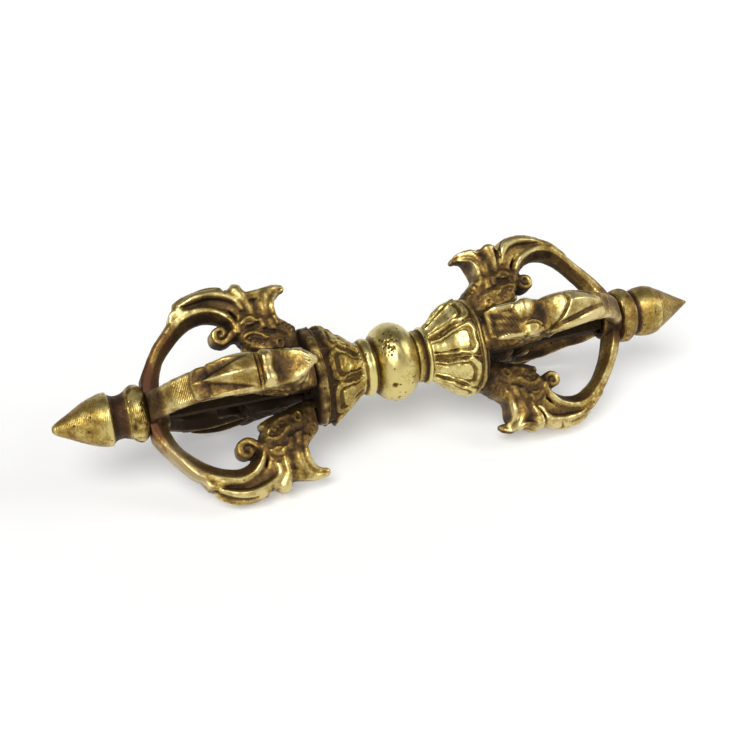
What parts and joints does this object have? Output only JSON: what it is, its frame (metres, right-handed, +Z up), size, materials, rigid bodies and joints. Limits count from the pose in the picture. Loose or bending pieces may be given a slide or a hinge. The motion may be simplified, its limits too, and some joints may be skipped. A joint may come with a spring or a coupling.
{
  "type": "dorje vajra",
  "caption": "brass ritual sceptre with a round hub, lotus bells, cages of hooked makara prongs around a square central prong, and cone tips",
  "frame": {"origin": "centre of the round hub, which is the centre of the whole object", "axes": "X runs along the axis from the left tip to the right tip, Z is up from the table that four prongs rest on, and Y completes the right-handed frame, so the front of the picture is towards -Y"},
  "size_m": [0.14, 0.0348, 0.0348],
  "materials": {
    "hub_brass": "worn satin",
    "ring_brass": "worn satin",
    "lotus_brass": "worn satin, dark in the carving",
    "seat_brass": "dark patina",
    "prong_brass": "worn highs over dark patina",
    "core_brass": "dark patina",
    "tip_brass": "turned and worn"
  },
  "bodies": {
    "root": {"hub_ball": "hub_brass", "left_hub_ring": "ring_brass", "right_hub_ring": "ring_brass", "left_lotus": "lotus_brass", "right_lotus": "lotus_brass", "left_prong_seat": "seat_brass", "right_prong_seat": "seat_brass", "left_upper_front_prong": "prong_brass", "left_upper_back_prong": "prong_brass", "left_lower_front_prong": "prong_brass", "left_lower_back_prong": "prong_brass", "right_upper_front_prong": "prong_brass", "right_upper_back_prong": "prong_brass", "right_lower_front_prong": "prong_brass", "right_lower_back_prong": "prong_brass", "core_spindle": "core_brass", "left_collar": "tip_brass", "right_collar": "tip_brass", "left_tip": "tip_brass", "right_tip": "tip_brass"}
  },
  "joints": []
}
